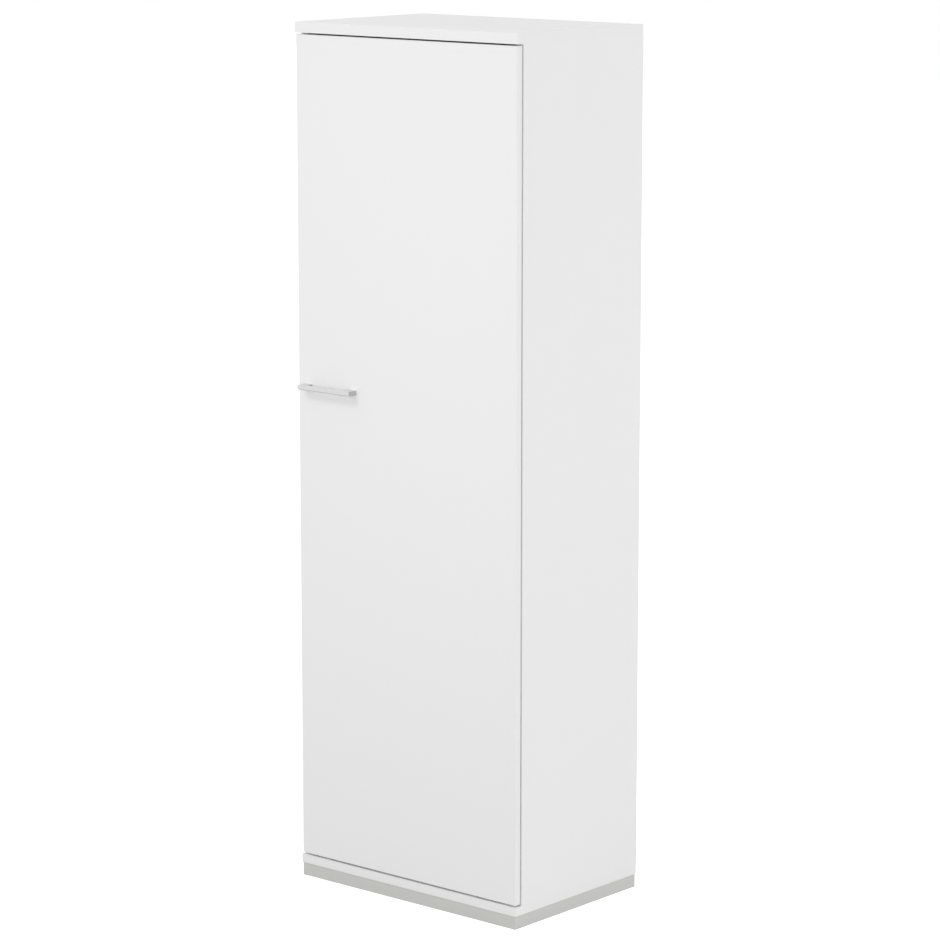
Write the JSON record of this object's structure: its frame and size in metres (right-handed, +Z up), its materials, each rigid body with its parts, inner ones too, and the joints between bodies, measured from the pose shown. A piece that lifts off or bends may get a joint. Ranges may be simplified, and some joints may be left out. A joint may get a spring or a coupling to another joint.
{
  "type": "wardrobe",
  "caption": "Tall narrow wardrobe with a full-height overlay door on concealed hinges, a bow handle, a hat shelf, a clothes rail and a low plinth.",
  "frame": {"origin": "on the floor, at the middle of the rectangle that the whole cabinet covers, handle included", "axes": "+X to the viewer's right, +Y to the rear, +Z up; the door faces -Y"},
  "size_m": [0.6, 0.4236, 1.829],
  "materials": {
    "white_melamine": "white melamine-faced chipboard, finely textured, matt",
    "grey_plinth": "silver-grey laminate",
    "satin_silver": "satin",
    "rail_chrome": "bright plated",
    "hinge_nickel": "nickel plated pressing",
    "steel_pin": "bright steel",
    "screw_steel": "zinc plated",
    "cam_zinc": "bare zinc casting",
    "beech_dowel": "beech, fluted in the real piece",
    "block_wood": "raw wood",
    "white_plastic": "moulded",
    "grey_plastic": "moulded",
    "clear_bumper": "soft translucent pad"
  },
  "bodies": {
    "carcass": {"arm_screws": "screw_steel", "back_panel": "white_melamine", "bottom_panel": "white_melamine", "cam_bolts": "screw_steel", "cam_locks": "cam_zinc", "carcass_dowels": "beech_dowel", "clothes_rail": "rail_chrome", "hat_shelf": "white_melamine", "hinge_arm_1": "hinge_nickel", "hinge_arm_2": "hinge_nickel", "hinge_arm_3": "hinge_nickel", "hinge_arm_4": "hinge_nickel", "hinge_plate_1": "hinge_nickel", "hinge_plate_2": "hinge_nickel", "hinge_plate_3": "hinge_nickel", "hinge_plate_4": "hinge_nickel", "left_side_panel": "white_melamine", "leveller_hole_caps": "white_plastic", "plate_screws": "screw_steel", "plinth_back": "grey_plinth", "plinth_corner_blocks": "block_wood", "plinth_front": "grey_plinth", "plinth_left": "grey_plinth", "plinth_right": "grey_plinth", "rail_end_caps": "grey_plastic", "rail_front_bracket": "rail_chrome", "rail_rear_bracket": "rail_chrome", "rail_screws": "screw_steel", "right_side_panel": "white_melamine", "shelf_pegs": "steel_pin", "top_panel": "white_melamine"},
    "door": {"cup_screws": "screw_steel", "door_bumpers": "clear_bumper", "door_panel": "white_melamine", "handle": "satin_silver", "handle_screws": "screw_steel", "hinge_cup_1": "hinge_nickel", "hinge_cup_2": "hinge_nickel", "hinge_cup_3": "hinge_nickel", "hinge_cup_4": "hinge_nickel", "hinge_pin_1": "steel_pin", "hinge_pin_2": "steel_pin", "hinge_pin_3": "steel_pin", "hinge_pin_4": "steel_pin"},
    "leveller_front_left": {"leveller_screw_front_left": "screw_steel", "leveller_glide_front_left": "grey_plastic"},
    "leveller_front_right": {"leveller_screw_front_right": "screw_steel", "leveller_glide_front_right": "grey_plastic"},
    "leveller_back_left": {"leveller_screw_back_left": "screw_steel", "leveller_glide_back_left": "grey_plastic"},
    "leveller_back_right": {"leveller_screw_back_right": "screw_steel", "leveller_glide_back_right": "grey_plastic"}
  },
  "joints": [
    {"name": "door_swing", "type": "hinge", "parent": "carcass", "child": "door", "pos_m": [0.2914, -0.18075, 0.927], "axis": [0, 0, 1], "range_deg": [0, 95]},
    {"name": "leveller_front_left_drive", "type": "slide", "parent": "carcass", "child": "leveller_front_left", "axis": [0, 0, -1], "range_m": [0, 0.01]},
    {"name": "leveller_front_right_drive", "type": "slide", "parent": "carcass", "child": "leveller_front_right", "axis": [0, 0, -1], "range_m": [0, 0.01]},
    {"name": "leveller_back_left_drive", "type": "slide", "parent": "carcass", "child": "leveller_back_left", "axis": [0, 0, -1], "range_m": [0, 0.01]},
    {"name": "leveller_back_right_drive", "type": "slide", "parent": "carcass", "child": "leveller_back_right", "axis": [0, 0, -1], "range_m": [0, 0.01]}
  ]
}
